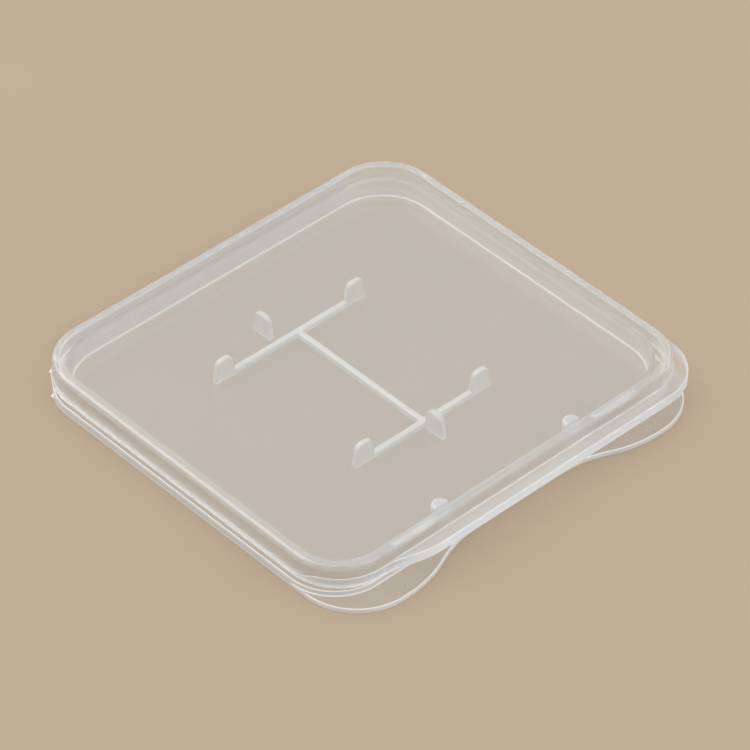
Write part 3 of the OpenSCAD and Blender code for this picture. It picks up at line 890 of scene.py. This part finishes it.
class CASE_OT_hinge(bpy.types.Operator):
    """Strap and the two films that fold into it"""
    bl_idname = "case.hinge"
    bl_label = "Hinge"

    def execute(self, context):
        sizes, material = context.scene.case_hinge, plastics()
        low_x, high_x = STRAP_LOW[0], STRAP_HIGH[0]
        strap_t = STRAP_HIGH[1] - STRAP_LOW[1]
        middle_y = (STRAP_LOW[1] + STRAP_HIGH[1]) / 2
        heights = np.linspace(STRAP_LOW[2] + strap_t / 2, STRAP_HIGH[2] - strap_t / 2, 9)
        strap = np.column_stack([np.full(9, middle_y), heights])
        surface = strip_surface(strap, strap_t, low_x, high_x, sizes.edge_round)
        piece("fold_strap", surface, material, ["hinge_strap"], "strap")
        films = (
            ("tray_fold", "tray_film", TRAY_FILM_LOW, TRAY_FILM_HIGH, 1,
             ("tray", "strap"), "tray_plastic"),
            ("lid_fold", "lid_film", LID_FILM_LOW, LID_FILM_HIGH, -1,
             ("strap", "lid"), "lid_plastic"),
        )
        for name, node, low, high, way, bodies, slot in films:
            film_z, film_t = (low[2] + high[2]) / 2, high[2] - low[2] - sizes.film_slim
            path = fold_path(
                low[1] - 4 * SUNK, middle_y, film_z, film_z + way * sizes.reach_up, sizes.bend_r)
            surface = strip_surface(
                path, film_t, low_x + 2 * SUNK, high_x - 2 * SUNK, sizes.edge_round)
            sheet = piece(name, surface, material, [node])
            near = (0, middle_y - sizes.bend_start, film_z - way * sizes.bend_slack)
            far = (0, middle_y + sizes.bend_slack, film_z + way * sizes.bend_end)
            if bodies[0] == "strap":
                near, far = far, near
            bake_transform(sheet)
        return {"FINISHED"}


class CASE_OT_marks(bpy.types.Operator):
    """Small marks that moulding leaves: two burrs at a corner and a fine line on each lobe"""
    bl_idname = "case.marks"
    bl_label = "Moulding marks"

    def execute(self, context):
        sizes, materials = context.scene.case_marks, plastics()
        lid = burr_surface(sizes, np.array(sizes.lid_burr))
        tray = burr_surface(sizes, np.array(sizes.tray_burr))
        lines = joined([line_surface(sizes, side) for side in (-1, 1)])
        piece("lid_burr", lid, materials, [], "lid")
        piece("tray_burr", tray, materials, [], "tray")
        piece("lobe_lines", lines, materials, [], "tray")
        return {"FINISHED"}


class CASE_OT_stage(bpy.types.Operator):
    """Camera, pale floor and soft lamps"""
    bl_idname = "case.stage"
    bl_label = "Stage"

    def execute(self, context):
        looks, scene = context.scene.case_stage, context.scene
        az, el = math.radians(looks.azimuth), math.radians(looks.elevation)
        back = Vector((math.sin(az) * math.cos(el), -math.cos(az) * math.cos(el), math.sin(el)))
        right = Vector((math.cos(az), math.sin(az), 0))
        up = back.cross(right)
        camera = bpy.data.cameras.new("camera")
        camera.sensor_width, camera.clip_start = SENSOR_WIDTH, 10 * MM
        camera.lens = looks.focal / FRAME_WIDTH * SENSOR_WIDTH
        holder = bpy.data.objects.new("camera", camera)
        bpy.context.collection.objects.link(holder)
        facing = Matrix((right, up, back)).transposed().to_4x4()
        holder.matrix_world = Matrix.Translation(looks.place) @ facing
        scene.camera = holder

        half = looks.floor_half
        plane = bpy.data.meshes.new("floor")
        plane.from_pydata(
            [(*corner, -looks.floor_drop) for corner in plan_box(-half, half, -half, half)],
            [], [(0, 1, 2, 3)])
        plane.materials.append(floor_paint(looks))
        floor = bpy.data.objects.new("floor", plane)
        bpy.context.collection.objects.link(floor)

        world = bpy.data.worlds.new("sky")
        world.use_nodes = True
        sky = world.node_tree.nodes["Background"].inputs
        sky["Color"].default_value = (*looks.sky_colour, 1)
        sky["Strength"].default_value = looks.sky_power
        scene.world = world
        for name, place, power in (
                ("key", looks.key_place, looks.key_power),
                ("fill", looks.fill_place, looks.fill_power)):
            lamp = bpy.data.lights.new(name, "AREA")
            lamp.size, lamp.energy = looks.lamp_size, power
            light = bpy.data.objects.new(name, lamp)
            bpy.context.collection.objects.link(light)
            light.location = place
            light.rotation_euler = (-Vector(place)).to_track_quat("-Z", "Y").to_euler()
        scene.view_settings.view_transform = "Standard"
        return {"FINISHED"}


OPERATORS = (CASE_OT_tray, CASE_OT_holder, CASE_OT_lid, CASE_OT_latch, CASE_OT_hinge,
             CASE_OT_marks, CASE_OT_stage)
SETTINGS = {
    "case_tray": TraySizes, "case_holder": HolderSizes, "case_lid": LidSizes,
    "case_hinge": HingeSizes, "case_marks": MarkSizes, "case_plastic": PlasticLooks,
    "case_stage": StageLooks,
}


class CASE_PT_panel(bpy.types.Panel):
    """Lists the pieces of the case"""
    bl_idname = "CASE_PT_panel"
    bl_label = "Card case"
    bl_space_type = "VIEW_3D"
    bl_region_type = "UI"
    bl_category = "Card case"

    def draw(self, context):
        for operator in OPERATORS:
            self.layout.operator(operator.bl_idname)


def register():
    """Registers the settings, the operators and the panel."""
    for name, group in SETTINGS.items():
        bpy.utils.register_class(group)
        setattr(bpy.types.Scene, name, bpy.props.PointerProperty(type=group))
    for item in (*OPERATORS, CASE_PT_panel):
        bpy.utils.register_class(item)


def unregister():
    """Takes them away again."""
    for item in (CASE_PT_panel, *reversed(OPERATORS)):
        bpy.utils.unregister_class(item)
    for name, group in SETTINGS.items():
        delattr(bpy.types.Scene, name)
        bpy.utils.unregister_class(group)


def main():
    """Builds every piece in order."""
    register()
    for operator in OPERATORS:
        group, name = operator.bl_idname.split(".")
        getattr(getattr(bpy.ops, group), name)()


if __name__ == "__main__":
    main()
